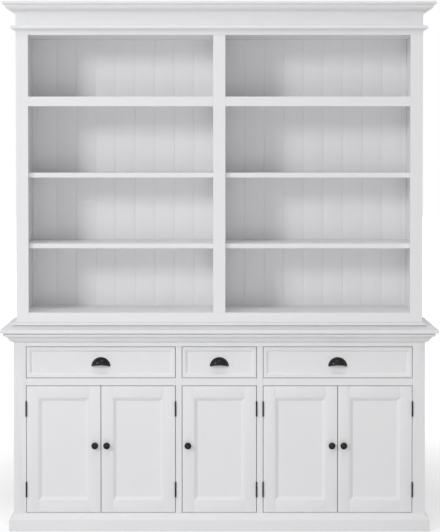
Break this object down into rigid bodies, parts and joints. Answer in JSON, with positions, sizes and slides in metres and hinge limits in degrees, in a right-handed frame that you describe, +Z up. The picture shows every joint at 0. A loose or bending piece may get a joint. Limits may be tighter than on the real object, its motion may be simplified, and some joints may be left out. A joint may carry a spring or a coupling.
{
  "type": "wall unit",
  "caption": "White painted hutch bookcase with open shelves and a boarded back on a buffet base with panelled doors, drawers, cup pulls and round knobs.",
  "frame": {"origin": "on the floor, at the middle of the width and depth of the whole unit", "axes": "+X to the right seen from the front, +Y to the wall behind, +Z up"},
  "size_m": [2, 0.5, 2.435],
  "materials": {
    "white_paint": "white satin paint on wood",
    "bare_wood": "bare pale wood",
    "black_iron": "black, slightly worn",
    "steel": "plated steel"
  },
  "bodies": {
    "carcass": {"base_sides": "white_paint", "base_partitions": "white_paint", "base_floor": "white_paint", "base_back": "white_paint", "base_top": "white_paint", "base_top_moulding": "white_paint", "base_stiles": "white_paint", "base_mullions": "white_paint", "base_rails": "white_paint", "base_plinth": "white_paint", "drawer_runners": "bare_wood", "cupboard_shelves": "white_paint", "hinge_frame_leaves": "black_iron", "hinge_pins": "black_iron", "door_catches": "steel", "hutch_foot": "white_paint", "hutch_sides": "white_paint", "hutch_partition": "white_paint", "hutch_stiles": "white_paint", "hutch_rails": "white_paint", "hutch_floor": "white_paint", "hutch_ceiling": "white_paint", "hutch_top": "white_paint", "hutch_back_boards": "white_paint", "hutch_back_battens": "bare_wood", "hutch_cornice": "white_paint", "hutch_bead": "white_paint", "hutch_fixed_shelves": "white_paint", "hutch_shelves": "white_paint", "shelf_pins": "steel", "locating_dowels": "bare_wood"},
    "door_left_outer": {"door_left_outer_frame": "white_paint", "door_left_outer_panel": "white_paint", "door_left_outer_knob": "black_iron", "door_left_outer_fittings": "black_iron"},
    "door_left_inner": {"door_left_inner_frame": "white_paint", "door_left_inner_panel": "white_paint", "door_left_inner_knob": "black_iron", "door_left_inner_fittings": "black_iron"},
    "door_center": {"door_center_frame": "white_paint", "door_center_panel": "white_paint", "door_center_knob": "black_iron", "door_center_fittings": "black_iron"},
    "door_right_inner": {"door_right_inner_frame": "white_paint", "door_right_inner_panel": "white_paint", "door_right_inner_knob": "black_iron", "door_right_inner_fittings": "black_iron"},
    "door_right_outer": {"door_right_outer_frame": "white_paint", "door_right_outer_panel": "white_paint", "door_right_outer_knob": "black_iron", "door_right_outer_fittings": "black_iron"},
    "drawer_left": {"drawer_left_front": "white_paint", "drawer_left_box": "bare_wood", "drawer_left_pull": "black_iron"},
    "drawer_center": {"drawer_center_front": "white_paint", "drawer_center_box": "bare_wood", "drawer_center_pull": "black_iron"},
    "drawer_right": {"drawer_right_front": "white_paint", "drawer_right_box": "bare_wood", "drawer_right_pull": "black_iron"}
  },
  "joints": [
    {"name": "door_left_outer_hinge", "type": "hinge", "parent": "carcass", "child": "door_left_outer", "pos_m": [-0.886, -0.1976, 0.376], "axis": [0, 0, -1], "range_deg": [0, 110]},
    {"name": "door_left_inner_hinge", "type": "hinge", "parent": "carcass", "child": "door_left_inner", "pos_m": [-0.201, -0.1976, 0.376], "axis": [0, 0, 1], "range_deg": [0, 110]},
    {"name": "door_center_hinge", "type": "hinge", "parent": "carcass", "child": "door_center", "pos_m": [0.171, -0.1976, 0.376], "axis": [0, 0, 1], "range_deg": [0, 85]},
    {"name": "door_right_inner_hinge", "type": "hinge", "parent": "carcass", "child": "door_right_inner", "pos_m": [0.201, -0.1976, 0.376], "axis": [0, 0, -1], "range_deg": [0, 85]},
    {"name": "door_right_outer_hinge", "type": "hinge", "parent": "carcass", "child": "door_right_outer", "pos_m": [0.886, -0.1976, 0.376], "axis": [0, 0, 1], "range_deg": [0, 110]},
    {"name": "drawer_left_slide", "type": "slide", "parent": "carcass", "child": "drawer_left", "axis": [0, -1, 0], "range_m": [0, 0.3]},
    {"name": "drawer_center_slide", "type": "slide", "parent": "carcass", "child": "drawer_center", "axis": [0, -1, 0], "range_m": [0, 0.3]},
    {"name": "drawer_right_slide", "type": "slide", "parent": "carcass", "child": "drawer_right", "axis": [0, -1, 0], "range_m": [0, 0.3]}
  ]
}
